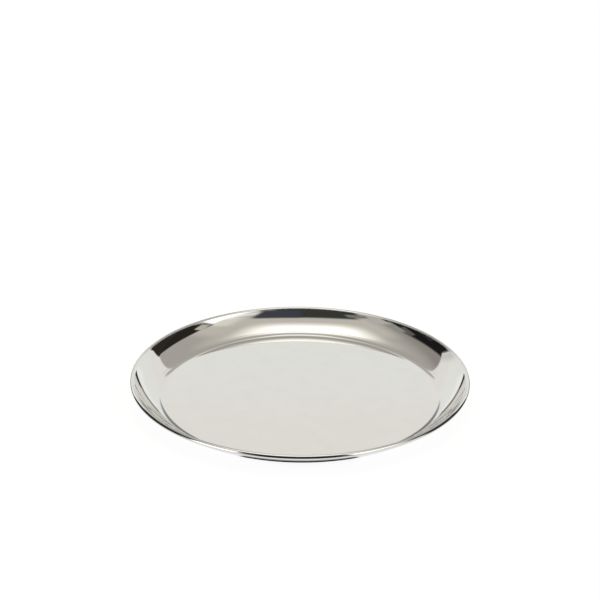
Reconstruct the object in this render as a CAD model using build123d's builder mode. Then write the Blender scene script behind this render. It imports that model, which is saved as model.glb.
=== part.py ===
"""Round coin tray of polished stainless steel, all lengths in millimetres.

The tray is one pressed sheet: a flat floor, a corner, a concave wall and an edge that is rolled
outward and down over a ring of wire. The origin is the centre of the underside, and Z is the
axis of the tray. Each outline is drawn in the XZ half plane and turned once round Z.
"""

import math
import os

from build123d import *

os.makedirs("parts", exist_ok=True)

# The tray as a whole
tray_diameter = 140.0
tray_height = 8.8
sheet_thickness = 0.5

# How far the wall reaches out from the flat floor's edge to the outside of the rolled edge
wall_width = 13.5

# The corner where the sheet turns up from the floor, on the middle of the sheet
corner_radius = 7.6
corner_slope = 27.0

# The rolled edge: its diameter outside the sheet, and how far round the sheet is rolled
bead_diameter = 2.0
curl_sweep = 290.0

# The wire's play inside the rolled sheet, all round
wire_clearance = 0.05

# The middle of the sheet, and the circle that it follows in the rolled edge
half_sheet = sheet_thickness / 2
floor_edge = Vector(tray_diameter / 2 - wall_width, half_sheet)
bead_radius = bead_diameter / 2
curl_radius = bead_radius - half_sheet
bead_centre = Vector(tray_diameter / 2 - bead_radius, tray_height - bead_radius)

# The corner arc leaves the floor level and ends at the slope of the wall's foot
corner_centre = floor_edge + Vector(0, corner_radius)
foot_normal = Vector(0, 1).rotate(Axis.Z, corner_slope)
wall_foot = corner_centre - foot_normal * corner_radius

# The wall is the one arc that leaves the corner in line and meets the curl in line,
# so its centre lies as far from the bead's centre as both radii together
foot_from_bead = wall_foot - bead_centre
wall_radius = (foot_from_bead.dot(foot_from_bead) - curl_radius**2) / (
    2 * (curl_radius - foot_normal.dot(foot_from_bead))
)
wall_centre = wall_foot + foot_normal * wall_radius
rim_normal = (wall_centre - bead_centre).normalized()

# Directions round the arcs' centres, in degrees from the outline's own X axis
down = -90
foot_direction = down + corner_slope
curl_direction = math.degrees(math.atan2(rim_normal.Y, rim_normal.X))
wall_sweep = curl_direction + down - corner_slope


def draw_face(lift):
    """Draw the sheet's face that lies lift above its middle, from the axis to the cut edge."""
    floor = Line((0, half_sheet + lift), floor_edge + Vector(0, lift))
    CenterArc(corner_centre, corner_radius - lift, down, corner_slope)
    CenterArc(wall_centre, wall_radius - lift, foot_direction, wall_sweep)
    curl = CenterArc(bead_centre, curl_radius + lift, curl_direction, -curl_sweep)
    return floor @ 0, curl @ 1


# The pressed sheet, from the middle of the floor to the cut edge inside the curl
with BuildPart() as tray_pan:
    with BuildSketch(Plane.XZ):
        with BuildLine():
            upper_axis, upper_edge = draw_face(half_sheet)
            lower_axis, lower_edge = draw_face(-half_sheet)
            Line(upper_axis, lower_axis)
            Line(upper_edge, lower_edge)
        make_face()
    revolve(axis=Axis.Z)

# The ring of wire that the edge is rolled over
wire_radius = bead_radius - sheet_thickness - wire_clearance
with BuildPart() as rim_wire:
    with BuildSketch(Plane.XZ):
        with Locations(bead_centre):
            Circle(wire_radius)
    revolve(axis=Axis.Z)

tray_pan.part.label = "tray_pan"
export_step(tray_pan.part, "parts/tray_pan.step")

rim_wire.part.label = "rim_wire"
export_step(rim_wire.part, "parts/rim_wire.step")
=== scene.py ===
"""Mirror-polished coin tray in a white studio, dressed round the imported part. Lengths in metres."""

import math

import bpy
from mathutils import Matrix, Vector


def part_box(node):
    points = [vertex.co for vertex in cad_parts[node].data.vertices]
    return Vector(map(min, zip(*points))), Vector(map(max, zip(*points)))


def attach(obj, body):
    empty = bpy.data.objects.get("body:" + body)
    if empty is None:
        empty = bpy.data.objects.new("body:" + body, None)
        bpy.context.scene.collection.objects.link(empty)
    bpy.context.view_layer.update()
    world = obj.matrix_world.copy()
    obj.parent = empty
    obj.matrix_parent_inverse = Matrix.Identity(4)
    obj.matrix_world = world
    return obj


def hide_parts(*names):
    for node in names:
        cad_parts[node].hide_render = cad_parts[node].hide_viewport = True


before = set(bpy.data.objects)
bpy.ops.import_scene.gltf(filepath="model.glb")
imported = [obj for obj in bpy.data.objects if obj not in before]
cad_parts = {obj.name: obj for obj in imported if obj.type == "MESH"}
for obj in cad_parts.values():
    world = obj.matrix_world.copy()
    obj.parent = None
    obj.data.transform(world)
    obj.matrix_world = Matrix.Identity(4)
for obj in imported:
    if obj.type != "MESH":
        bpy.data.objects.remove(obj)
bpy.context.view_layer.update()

MM = 0.001
UP = Vector((0, 0, 1))

# The tray's overall sizes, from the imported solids
pan_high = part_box("tray_pan")[1]
wire_low, wire_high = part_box("rim_wire")
tray_radius = pan_high.x
tray_height = pan_high.z
wire_radius = (wire_high.z - wire_low.z) / 2
bead_reach = wire_high.x - wire_radius
bead_height = wire_high.z - wire_radius
bead_radius = tray_radius - bead_reach

# The sheet's own sizes, which the solids' boxes don't tell
SHEET = 0.5 * MM
WALL_WIDTH = 13.5 * MM
CORNER_RADIUS = 7.6 * MM
CORNER_SLOPE = math.radians(27)
CURL_SWEEP = math.radians(290)
CUT_EDGE_ROUNDING = 0.1 * MM

# Half the sheet, the floor's edge, and the circle that the sheet's middle follows in the curl
half_sheet = SHEET / 2
floor_radius = tray_radius - WALL_WIDTH
curl_radius = bead_radius - half_sheet

# How finely the sheet is turned, and how many steps each stretch of its outline takes
SEGMENTS = 360
FLOOR_RINGS = 7
CORNER_STEPS = 16
WALL_STEPS = 40
CURL_STEPS = 72
INNER_CURL_STEPS = 36
CUT_EDGE_STEPS = 4


# Outline of the sheet

def on_circle(centre, radius, turn):
    """The point of a circle in a direction measured from straight up towards the outside."""
    return centre[0] + radius * math.sin(turn), centre[1] + radius * math.cos(turn)


class Outline:
    """Points of the sheet's outline in the XZ half plane, each with the direction that it faces."""

    def __init__(self):
        self.points = []
        self.facings = []

    def add(self, point, facing):
        self.points.append(point)
        self.facings.append((math.sin(facing), math.cos(facing)))

    def arc(self, centre, radius, start, end, steps, inward=False):
        """An arc between two directions. It faces its own centre where inward is set."""
        for step in range(steps + 1):
            turn = start + (end - start) * step / steps
            self.add(on_circle(centre, radius, turn), turn + math.pi if inward else turn)


def wall_arc():
    """Centre, radius and upper slope of the one arc that joins the corner to the rolled edge.

    It leaves the corner in line and meets the curl in line, so its centre lies straight across the
    sheet from the wall's foot, as far from the bead's centre as both radii together.
    """
    lean = (-math.sin(CORNER_SLOPE), math.cos(CORNER_SLOPE))
    foot = (
        floor_radius - CORNER_RADIUS * lean[0],
        half_sheet + CORNER_RADIUS * (1 - lean[1]),
    )
    away = (foot[0] - bead_reach, foot[1] - bead_height)
    square = away[0] ** 2 + away[1] ** 2
    along = lean[0] * away[0] + lean[1] * away[1]
    radius = (square - curl_radius**2) / (2 * (curl_radius - along))
    centre = (foot[0] + lean[0] * radius, foot[1] + lean[1] * radius)
    slope = math.atan2(bead_reach - centre[0], centre[1] - bead_height)
    return centre, radius, slope


def sheet_outline():
    """The whole sheet: out along its upper face, round the curl, and back along its lower face."""
    corner_centre = (floor_radius, half_sheet + CORNER_RADIUS)
    wall_centre, wall_radius, rim_slope = wall_arc()
    bead_centre = (bead_reach, bead_height)
    down = math.pi
    foot = down - CORNER_SLOPE
    rim = down - rim_slope
    cut = CURL_SWEEP - rim_slope
    floor_reaches = [floor_radius * ring / FLOOR_RINGS for ring in range(FLOOR_RINGS)]

    outline = Outline()
    for reach in floor_reaches:
        outline.add((reach, SHEET), 0)
    outline.arc(corner_centre, CORNER_RADIUS - half_sheet, down, foot, CORNER_STEPS, inward=True)
    outline.arc(wall_centre, wall_radius - half_sheet, foot, rim, WALL_STEPS, inward=True)
    outline.arc(bead_centre, bead_radius, -rim_slope, cut, CURL_STEPS)
    rounded_tip(outline, on_circle(bead_centre, curl_radius, cut), cut)
    outline.arc(bead_centre, bead_radius - SHEET, cut, -rim_slope, INNER_CURL_STEPS, inward=True)
    outline.arc(wall_centre, wall_radius + half_sheet, rim, foot, WALL_STEPS)
    outline.arc(corner_centre, CORNER_RADIUS + half_sheet, foot, down, CORNER_STEPS)
    for reach in reversed(floor_reaches):
        outline.add((reach, 0), down)
    return outline


def rounded_tip(outline, tip, cut):
    """The sheet's cut edge, with both of its corners broken."""
    outward = (math.sin(cut), math.cos(cut))
    ahead = (math.cos(cut), -math.sin(cut))
    inset = half_sheet - CUT_EDGE_ROUNDING
    for side in (1, -1):
        corner = tuple(
            middle + across * inset * side - along * CUT_EDGE_ROUNDING
            for middle, across, along in zip(tip, outward, ahead)
        )
        start = cut if side == 1 else cut + math.pi / 2
        outline.arc(corner, CUT_EDGE_ROUNDING, start, start + math.pi / 2, CUT_EDGE_STEPS)


def turned_mesh(name, outline):
    """The outline turned once round Z. Both of its ends are on the axis, each as one point."""
    rings = outline.points[1:-1]
    facings = outline.facings[1:-1]
    count = len(rings)
    vertices = [(0, 0, outline.points[0][1]), (0, 0, outline.points[-1][1])]
    normals = [(0, 0, 1), (0, 0, -1)]
    faces = []
    for segment in range(SEGMENTS):
        angle = math.tau * segment / SEGMENTS
        x, y = math.cos(angle), math.sin(angle)
        vertices += [(reach * x, reach * y, height) for reach, height in rings]
        normals += [(out * x, out * y, up) for out, up in facings]
        here = 2 + segment * count
        there = 2 + (segment + 1) % SEGMENTS * count
        faces.append((0, here, there))
        faces.append((1, there + count - 1, here + count - 1))
        for ring in range(count - 1):
            faces.append((here + ring, here + ring + 1, there + ring + 1, there + ring))
    mesh = bpy.data.meshes.new(name)
    mesh.from_pydata(vertices, [], faces)
    mesh.polygons.foreach_set("use_smooth", [True] * len(faces))
    mesh.normals_split_custom_set_from_vertices(normals)
    return mesh


# Node helpers

def add(tree, kind, **values):
    """A new node, with its own settings, and its input sockets by name or number."""
    node = tree.nodes.new(kind)
    inputs = values.pop("inputs", {})
    for name, value in values.items():
        setattr(node, name, value)
    for socket, value in inputs.items():
        if isinstance(value, bpy.types.NodeSocket):
            tree.links.new(value, node.inputs[socket])
        else:
            node.inputs[socket].default_value = value
    return node


def maths(tree, operation, *terms, clamp=False):
    """The result of a Math node on sockets or numbers."""
    inputs = dict(enumerate(terms))
    node = add(tree, "ShaderNodeMath", operation=operation, use_clamp=clamp, inputs=inputs)
    return node.outputs[0]


def length_of(tree, vector):
    return add(tree, "ShaderNodeVectorMath", operation="LENGTH", inputs={0: vector}).outputs[1]


def ramp(tree, value, low, high):
    """0 on low's side and 1 on high's side, whichever is the larger, with a soft step between."""
    inputs = {"Value": value, "From Min": low, "From Max": high}
    node = add(tree, "ShaderNodeMapRange", interpolation_type="SMOOTHSTEP", inputs=inputs)
    return node.outputs[0]


def blend(tree, share, first, second):
    """Colour that goes from first to second as share goes from 0 to 1."""
    inputs = {0: share, 6: first, 7: second}
    return add(tree, "ShaderNodeMix", data_type="RGBA", inputs=inputs).outputs[2]


def noise(tree, place, size, detail=2.0):
    """Soft noise whose features are about the given size."""
    inputs = {"Vector": place, "Scale": 1 / size, "Detail": detail}
    return add(tree, "ShaderNodeTexNoise", inputs=inputs).outputs[0]


def grey(level):
    return (level, level, level, 1)


def darker(colour, share):
    """The same colour at a share of its brightness."""
    return tuple(channel * share for channel in colour[:3]) + (1,)


def new_tree(owner):
    owner.use_nodes = True
    owner.node_tree.nodes.clear()
    return owner.node_tree


def new_material(name):
    material = bpy.data.materials.new(name)
    return material, new_tree(material)


# Metal

# A scratch runs where a fine noise is nearer to its middle than the scratch's width, and it shows
# only where a coarse noise is high
NOISE_MIDDLE = 0.5
PATCH_LEVELS = (0.5, 0.62)
PATCH_LENGTH_SHARE = 0.7


def hairlines(tree, place, angle, length, spacing, width):
    """Thin straight scratches that all run one way: 1 on a scratch and 0 off it."""
    inputs = {"Vector": place, "Rotation": (0, 0, angle)}
    lined_up = add(tree, "ShaderNodeMapping", inputs=inputs).outputs[0]
    inputs = {0: lined_up, 1: (spacing / length, 1, 1)}
    stretched = add(tree, "ShaderNodeVectorMath", operation="MULTIPLY", inputs=inputs).outputs[0]
    level = noise(tree, stretched, spacing, detail=1.0)
    off_line = maths(tree, "ABSOLUTE", maths(tree, "SUBTRACT", level, NOISE_MIDDLE))
    line = ramp(tree, off_line, width, 0)
    patchy = ramp(tree, noise(tree, lined_up, length * PATCH_LENGTH_SHARE), *PATCH_LEVELS)
    return maths(tree, "MULTIPLY", line, patchy)


def crossed_hairlines(tree, place, directions, width):
    """Scratches in a few directions, each given with its scratches' length and spacing."""
    marks = 0
    for degrees, length, spacing in directions:
        lines = hairlines(tree, place, math.radians(degrees), length, spacing, width)
        marks = maths(tree, "MAXIMUM", marks, lines)
    return marks


def finish_metal(tree, colour, roughness, relief, strength, depth):
    """The metal's shader on the material's output, with the relief as its bump."""
    inputs = {"Strength": strength, "Distance": depth, "Height": relief}
    bump = add(tree, "ShaderNodeBump", inputs=inputs).outputs[0]
    inputs = {"Base Color": colour, "Metallic": 1, "Roughness": roughness, "Normal": bump}
    shader = add(tree, "ShaderNodeBsdfPrincipled", inputs=inputs).outputs[0]
    add(tree, "ShaderNodeOutputMaterial", inputs={0: shader})


# Polished steel

STEEL = (0.78, 0.775, 0.76, 1)
STEEL_ROUGHNESS = 0.03

# Haze that the polishing left, between two levels of a noise
HAZE_SIZE = 9 * MM
HAZE_LEVELS = (0.35, 0.7)
HAZE_ROUGHNESS = 0.02
HAZE_COLOUR_SHARE = 0.3
HAZE_BRIGHTNESS = 0.94

# Scratches: each row holds a direction in degrees, their length and how far apart they are
HANDLING = ((12, 26 * MM, 1.1 * MM), (71, 19 * MM, 1.5 * MM), (128, 22 * MM, 1.3 * MM))
HANDLING_WIDTH = 0.006
HANDLING_SHARE = 0.35
SCUFFS = ((35, 7 * MM, 0.5 * MM), (97, 7 * MM, 0.5 * MM), (160, 7 * MM, 0.5 * MM))
SCUFF_WIDTH = 0.02
SCRATCH_ROUGHNESS = 0.22
SCRATCH_BUMP = 0.15
SCRATCH_DEPTH = 0.002 * MM

# Scuffs show where the sheet is worn: on its resting face, and less on the top of the bead
RESTING_HEIGHTS = (0.12 * MM, 0.02 * MM)
BEAD_TOP_DEPTH = 0.35 * MM
BEAD_WEAR = 0.3
WEAR_ROUGHNESS = 0.05


def polished_steel():
    """Mirror-polished steel with faint hairlines, a worn bead and a scuffed resting face."""
    material, tree = new_material("polished_steel")
    place = add(tree, "ShaderNodeTexCoord").outputs["Object"]
    height = add(tree, "ShaderNodeSeparateXYZ", inputs={0: place}).outputs[2]
    haze = ramp(tree, noise(tree, place, HAZE_SIZE, detail=3), *HAZE_LEVELS)

    resting = ramp(tree, height, *RESTING_HEIGHTS)
    bead_top = ramp(tree, height, tray_height - BEAD_TOP_DEPTH, tray_height)
    wear = maths(tree, "MULTIPLY_ADD", bead_top, BEAD_WEAR, resting, clamp=True)

    handling = crossed_hairlines(tree, place, HANDLING, HANDLING_WIDTH)
    faint = maths(tree, "MULTIPLY", handling, HANDLING_SHARE)
    scuffs = crossed_hairlines(tree, place, SCUFFS, SCUFF_WIDTH)
    scratched = maths(tree, "MAXIMUM", faint, maths(tree, "MULTIPLY", scuffs, wear))

    smooth = maths(tree, "MULTIPLY_ADD", haze, HAZE_ROUGHNESS, STEEL_ROUGHNESS)
    scored = maths(tree, "MULTIPLY_ADD", scratched, SCRATCH_ROUGHNESS, smooth)
    rubbed = maths(tree, "MULTIPLY_ADD", wear, WEAR_ROUGHNESS, scored)
    hazy = maths(tree, "MULTIPLY", haze, HAZE_COLOUR_SHARE)
    colour = blend(tree, hazy, STEEL, darker(STEEL, HAZE_BRIGHTNESS))
    finish_metal(tree, colour, rubbed, scratched, SCRATCH_BUMP, SCRATCH_DEPTH)
    return material


# Drawn wire

WIRE = (0.6, 0.6, 0.6, 1)
WIRE_ROUGHNESS = 0.3
DIE_LINE_SIZE = 0.06 * MM
DIE_LINE_ROUGHNESS = 0.2
DIE_LINE_BUMP = 0.4
DIE_LINE_DEPTH = 0.01 * MM
BLOTCH_SIZE = 4 * MM
BLOTCH_LEVELS = (0.4, 0.7)
BLOTCH_BRIGHTNESS = 0.75


def drawn_wire():
    """Unpolished drawn steel wire with die lines along it and darker blotches."""
    material, tree = new_material("drawn_wire")
    place = add(tree, "ShaderNodeTexCoord").outputs["Object"]
    x, y, z = add(tree, "ShaderNodeSeparateXYZ", inputs={0: place}).outputs
    reach = length_of(tree, add(tree, "ShaderNodeCombineXYZ", inputs={0: x, 1: y}).outputs[0])
    section = add(tree, "ShaderNodeCombineXYZ", inputs={0: reach, 1: z}).outputs[0]
    die_lines = noise(tree, section, DIE_LINE_SIZE, detail=3)
    blotches = ramp(tree, noise(tree, place, BLOTCH_SIZE), *BLOTCH_LEVELS)
    colour = blend(tree, blotches, WIRE, darker(WIRE, BLOTCH_BRIGHTNESS))
    roughness = maths(tree, "MULTIPLY_ADD", die_lines, DIE_LINE_ROUGHNESS, WIRE_ROUGHNESS)
    finish_metal(tree, colour, roughness, die_lines, DIE_LINE_BUMP, DIE_LINE_DEPTH)
    return material


# The tray

def make_tray():
    """The pressed sheet as a fine mesh that replaces its solid, and the wire's own finish."""
    sheet = bpy.data.objects.new("polished_pan", turned_mesh("polished_pan", sheet_outline()))
    bpy.context.scene.collection.objects.link(sheet)
    sheet.data.materials.append(polished_steel())
    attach(sheet, "root")
    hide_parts("tray_pan")

    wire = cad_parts["rim_wire"]
    wire.data.materials.clear()
    wire.data.materials.append(drawn_wire())


# The studio that the polished steel mirrors

WHITE = (1, 1, 1, 1)

# The level of the room round the cards
DARK_ROOM = 0.05

# The least slope of a direction towards a flat surface, so that its place there stays finite
LEAST_SLOPE = 0.03

# Each card is laid over the ones before it. It is seen on one of these: the ceiling (across is x/z
# and along is y/z, so the camera stands towards -y), the far wall (x/y and z/y), or all round
# (degrees to the right of straight away from the camera, and degrees up). Each row holds the card's
# name, its surface, its turn there in degrees, its reach across and along, how soft its edges are
# across and along, and its colour.
CARDS = (
    ("ceiling", "ceiling", 0, (-9, 9), (-0.46, 1.28), (0.1, 0.05), (0.46, 0.435, 0.4)),
    ("ceiling_left", "ceiling", 0, (-9, -0.9), (-0.46, 1.28), (0.5, 0.05), (0.32, 0.3, 0.27)),
    ("ceiling_near", "ceiling", 0, (-0.8, 1.3), (-0.5, 0.2), (0.4, 0.25), (0.62, 0.59, 0.53)),
    ("softbox_glow", "ceiling", 0, (-0.6, 0.6), (-0.2, 0.6), (0.4, 0.4), (0.6, 0.57, 0.51)),
    ("softbox", "ceiling", 0, (-0.39, 0.29), (-0.09, 0.36), (0.4, 0.35), (1.7, 1.65, 1.55)),
    ("ceiling_corner", "ceiling", 0, (0.62, 1.05), (-0.45, -0.13), (0.2, 0.1), (0.82, 0.79, 0.7)),
    ("left_room", "ceiling", 24, (-9, -0.98), (-9, 9), (0.15, 0.1), (0.012, 0.012, 0.012)),
    ("right_room", "ceiling", -24, (0.93, 9), (-9, 9), (0.06, 0.1), (0.024, 0.02, 0.016)),
    ("left_glimpse", "ceiling", 0, (-1.42, -1.13), (-0.13, 0.19), (0.06, 0.05), (0.13, 0.12, 0.11)),
    ("right_glimpse", "ceiling", 0, (1.0, 1.26), (-0.18, 0.03), (0.06, 0.05), (0.58, 0.54, 0.47)),
    ("left_gap", "ceiling", 0, (-1.21, -0.95), (-0.38, 0.04), (0.06, 0.1), (0.33, 0.32, 0.3)),
    ("bounce_left", "ceiling", 0, (-1.1, -0.72), (-0.85, -0.26), (0.1, 0.1), (0.54, 0.52, 0.48)),
    ("bounce_right", "ceiling", 20, (0.05, 1.68), (-0.85, -0.7), (0.15, 0.25), (1.15, 1.14, 1.05)),
    ("camera_side", "ceiling", 0, (-0.6, 0.47), (-0.78, -0.41), (0.14, 0.1), (0.045, 0.048, 0.04)),
    ("camera_stand", "ceiling", 0, (0, 0.47), (-0.78, -0.41), (0.1, 0.1), (0.06, 0.06, 0.08)),
    ("camera_patch", "ceiling", 0, (-0.82, -0.5), (-0.62, -0.49), (0.06, 0.05), (0.23, 0.23, 0.22)),
    ("window_left", "round", 0, (-140, -107), (-20, 34), (5, 6), (1.9, 1.9, 1.8)),
    ("window_right", "round", 0, (102, 146), (-20, 46), (5, 6), (1.6, 1.6, 1.55)),
    ("window_low", "round", 0, (95, 110), (-20, 14), (3, 4), (1.3, 1.3, 1.25)),
    ("sweep", "far", 0, (-1.5, 1.43), (-2, 0.79), (0.06, 0.04), (0.92, 0.925, 0.895)),
    ("sweep_near", "far", 0, (-1.5, 1.43), (0.5, 0.79), (0.06, 0.04), (0.91, 0.89, 0.84)),
    ("sweep_left", "far", 0, (-1.5, -1.15), (-2, 0.79), (0.3, 0.04), (0.72, 0.7, 0.68)),
    ("right_end", "ceiling", 24, (1.9, 9), (-9, 0.57), (0.05, 0.05), (0.03, 0.025, 0.02)),
    ("horizon", "round", 0, (-33, 36), (-95, 9), (6, 5), (1.0, 1.0, 0.98)),
    ("stand", "round", 0, (-8, 7.5), (9, 24), (4, 3), (0.27, 0.27, 0.27)),
    ("sweep_dip", "round", 0, (-18, 20), (32, 39), (5, 2), (0.5, 0.49, 0.45)),
    ("far_window", "round", 0, (-4, 4), (38, 52), (3, 3), (1.1, 1.1, 1.08)),
)


def card_places(tree):
    """Across, along and in-front-of for each surface that a card can be seen on."""
    direction = add(tree, "ShaderNodeTexCoord").outputs["Generated"]
    x, y, z = add(tree, "ShaderNodeSeparateXYZ", inputs={0: direction}).outputs
    above = maths(tree, "MAXIMUM", z, LEAST_SLOPE)
    beyond = maths(tree, "MAXIMUM", y, LEAST_SLOPE)
    right = maths(tree, "DEGREES", maths(tree, "ARCTAN2", x, y))
    height = maths(tree, "DEGREES", maths(tree, "ARCSINE", z))
    return {
        "ceiling": (maths(tree, "DIVIDE", x, above), maths(tree, "DIVIDE", y, above), z),
        "far": (maths(tree, "DIVIDE", x, beyond), maths(tree, "DIVIDE", z, beyond), y),
        "round": (right, height, 1),
    }


def turned(tree, across, along, degrees):
    """The same place on a surface whose two directions are turned."""
    if degrees == 0:
        return across, along
    cosine = math.cos(math.radians(degrees))
    sine = math.sin(math.radians(degrees))
    across_part = maths(tree, "MULTIPLY", along, sine)
    along_part = maths(tree, "MULTIPLY", across, -sine)
    return (
        maths(tree, "MULTIPLY_ADD", across, cosine, across_part),
        maths(tree, "MULTIPLY_ADD", along, cosine, along_part),
    )


def band(tree, place, edges, softness):
    """1 between two edges and 0 outside them."""
    low, high = edges
    half = softness / 2
    rise = ramp(tree, place, low - half, low + half)
    fall = ramp(tree, place, high + half, high - half)
    return maths(tree, "MULTIPLY", rise, fall)


def studio_world():
    """Plain white to the camera, and the cards to every other ray."""
    world = bpy.data.worlds.new("studio")
    tree = new_tree(world)
    places = card_places(tree)
    colour = grey(DARK_ROOM)
    for _, surface, degrees, across, along, softness, tint in CARDS:
        sideways, upward, front = places[surface]
        sideways, upward = turned(tree, sideways, upward, degrees)
        width = band(tree, sideways, across, softness[0])
        depth = band(tree, upward, along, softness[1])
        mask = maths(tree, "MULTIPLY", width, depth)
        facing = maths(tree, "GREATER_THAN", front, 0)
        colour = blend(tree, maths(tree, "MULTIPLY", mask, facing), colour, tint + (1,))
    seen = add(tree, "ShaderNodeLightPath").outputs["Is Camera Ray"]
    shown = blend(tree, seen, colour, WHITE)
    background = add(tree, "ShaderNodeBackground", inputs={0: shown, 1: 1.0}).outputs[0]
    add(tree, "ShaderNodeOutputWorld", inputs={0: background})
    bpy.context.scene.world = world


# The table and the boards on it

# The table lies a hair below the tray's resting face
TABLE_REACH = 4.0
TABLE_DROP = 0.01 * MM
TABLE_COLOUR = grey(0.92)

# The camera sees this share of the table burnt out, at this level, and the rest of it as it is lit
BURNT_SHARE = 0.85
BURNT_LEVEL = 1.09

# As the rolled rim mirrors it, the table carries painted shade under the tray, painted white round it
# and dim further off. Each pair is a distance from the tray's axis where it is dark, and the one
# where it is white.
MIRRORED_LEVEL = 0.92
SHADE_EDGES = (60.6 * MM, 64.6 * MM)
DIM_EDGES = (90 * MM, 78 * MM)

# Painted window light lies on the mirrored table on both sides of a wedge towards the camera. The
# wedge's edges are cosines of the angle off the camera's direction. The painted light narrows the
# painted shade, and it ends about where the boards begin, at places along y on a line a little turned
# from x.
WEDGE_EDGES = (0.94, 0.895)
SHADE_NARROWED = 6 * MM
WINDOW_LIGHT_END = (-51 * MM, -59 * MM)
WINDOW_LIGHT_TURN = -0.07

# The black boards that stand on the table at both sides of the tray
BOARD_COLOUR = grey(0.06)
BOARD_REACH = 200 * MM
BOARD_NEAR_LEFT = -80 * MM
BOARD_NEAR_RIGHT = -55 * MM
BOARD_FAR = 125 * MM
BOARD_HEIGHT = 150 * MM


def flat_object(name, corners, faces, material):
    """An object of flat faces in the scene, for the studio."""
    mesh = bpy.data.meshes.new(name)
    mesh.from_pydata(corners, [], faces)
    mesh.materials.append(material)
    flat = bpy.data.objects.new(name, mesh)
    bpy.context.scene.collection.objects.link(flat)
    return flat


def painted_table_light(tree):
    """Painted light and shade of the table, where the polished steel mirrors it."""
    place = add(tree, "ShaderNodeTexCoord").outputs["Object"]
    distance = length_of(tree, place)
    x, y, _ = add(tree, "ShaderNodeSeparateXYZ", inputs={0: place}).outputs
    towards_camera = maths(tree, "DIVIDE", maths(tree, "MULTIPLY", y, -1), distance)
    beside_wedge = ramp(tree, towards_camera, *WEDGE_EDGES)
    # painted window light on the mirrored table, beside the wedge and short of a line turned from x
    turned_y = maths(tree, "MULTIPLY_ADD", x, WINDOW_LIGHT_TURN, y)
    painted_window_light = maths(tree, "MULTIPLY", beside_wedge, ramp(tree, turned_y, *WINDOW_LIGHT_END))
    # painted shade under the tray, narrowed beside the wedge
    from_shade = maths(tree, "MULTIPLY_ADD", beside_wedge, SHADE_NARROWED, distance)
    out_of_painted_shade = ramp(tree, from_shade, *SHADE_EDGES)
    not_dim = maths(tree, "MAXIMUM", ramp(tree, distance, *DIM_EDGES), painted_window_light)
    white = maths(tree, "MULTIPLY", out_of_painted_shade, not_dim)
    return maths(tree, "MULTIPLY", white, MIRRORED_LEVEL)


def white_table():
    """A white table, burnt out to the camera but for a trace of the tray's shadow, and painted with
    light and shade where the steel mirrors it.
    """
    material, tree = new_material("white_table")
    light_path = add(tree, "ShaderNodeLightPath").outputs
    seen = light_path["Is Camera Ray"]
    mirrored = light_path["Is Glossy Ray"]
    share = maths(tree, "MULTIPLY_ADD", seen, BURNT_SHARE, mirrored)
    # glossy rays see the table's painted light and shade as emission, not as it is lit
    reflection = maths(tree, "MULTIPLY", mirrored, painted_table_light(tree))
    level = maths(tree, "MULTIPLY_ADD", seen, BURNT_LEVEL, reflection)
    lit = add(tree, "ShaderNodeBsdfDiffuse", inputs={0: TABLE_COLOUR}).outputs[0]
    burnt = add(tree, "ShaderNodeEmission", inputs={0: WHITE, 1: level}).outputs[0]
    shader = add(tree, "ShaderNodeMixShader", inputs={0: share, 1: lit, 2: burnt}).outputs[0]
    add(tree, "ShaderNodeOutputMaterial", inputs={0: shader})
    return material


def studio_floor():
    """The table as one large square."""
    signs = ((-1, -1), (1, -1), (1, 1), (-1, 1))
    corners = [(x * TABLE_REACH, y * TABLE_REACH, 0) for x, y in signs]
    floor = flat_object("floor", corners, [(0, 1, 2, 3)], white_table())
    floor.location.z = -TABLE_DROP


def black_board():
    material, tree = new_material("black_board")
    shader = add(tree, "ShaderNodeBsdfDiffuse", inputs={0: BOARD_COLOUR}).outputs[0]
    add(tree, "ShaderNodeOutputMaterial", inputs={0: shader})
    return material


def black_boards():
    """Two boards that only reflections see. They draw the dark line round the rim's sides."""
    corners = [
        (side * BOARD_REACH, y, z)
        for side, near in ((-1, BOARD_NEAR_LEFT), (1, BOARD_NEAR_RIGHT))
        for y, z in ((near, 0), (BOARD_FAR, 0), (BOARD_FAR, BOARD_HEIGHT), (near, BOARD_HEIGHT))
    ]
    boards = flat_object("black_boards", corners, [(0, 1, 2, 3), (4, 5, 6, 7)], black_board())
    boards.visible_camera = False
    boards.visible_diffuse = False
    boards.visible_shadow = False


# The photograph's camera

FRAME_PIXELS = 600
SENSOR = 36.0

# The middle of the tray's floor in the photograph, and the photograph's scale there
FLOOR_CENTRE_PIXEL = (299.95, 395.04)
PIXELS_PER_METRE = 2413.75
CAMERA_DISTANCE = 1.1277
CAMERA_ELEVATION = math.radians(26.63)
CAMERA_ROLL = math.radians(0.537)


def place_camera():
    """Camera turned until the middle of the tray's floor is on its pixel."""
    focal = PIXELS_PER_METRE * CAMERA_DISTANCE
    right = FLOOR_CENTRE_PIXEL[0] - FRAME_PIXELS / 2
    below = FLOOR_CENTRE_PIXEL[1] - FRAME_PIXELS / 2
    rolled_right = right * math.cos(CAMERA_ROLL) + below * math.sin(CAMERA_ROLL)
    rolled_below = below * math.cos(CAMERA_ROLL) - right * math.sin(CAMERA_ROLL)
    pitch = math.atan2(rolled_below, focal)
    yaw = math.atan2(rolled_right, math.hypot(focal, rolled_below))

    back = Vector((0, -math.cos(CAMERA_ELEVATION), math.sin(CAMERA_ELEVATION)))
    across = Vector((1, 0, 0))
    level = Matrix((across, back.cross(across), back)).transposed()
    aim = Matrix.Rotation(yaw, 3, "Y") @ Matrix.Rotation(pitch, 3, "X")
    turn = level @ aim @ Matrix.Rotation(CAMERA_ROLL, 3, "Z")
    data = bpy.data.cameras.new("camera")
    data.sensor_width = SENSOR
    data.lens = focal / FRAME_PIXELS * SENSOR
    camera = bpy.data.objects.new("camera", data)
    bpy.context.scene.collection.objects.link(camera)
    camera.matrix_world = Matrix.Translation(back * CAMERA_DISTANCE + UP * SHEET) @ turn.to_4x4()
    bpy.context.scene.camera = camera


make_tray()
studio_world()
studio_floor()
black_boards()
place_camera()
bpy.context.scene.view_settings.view_transform = "Standard"
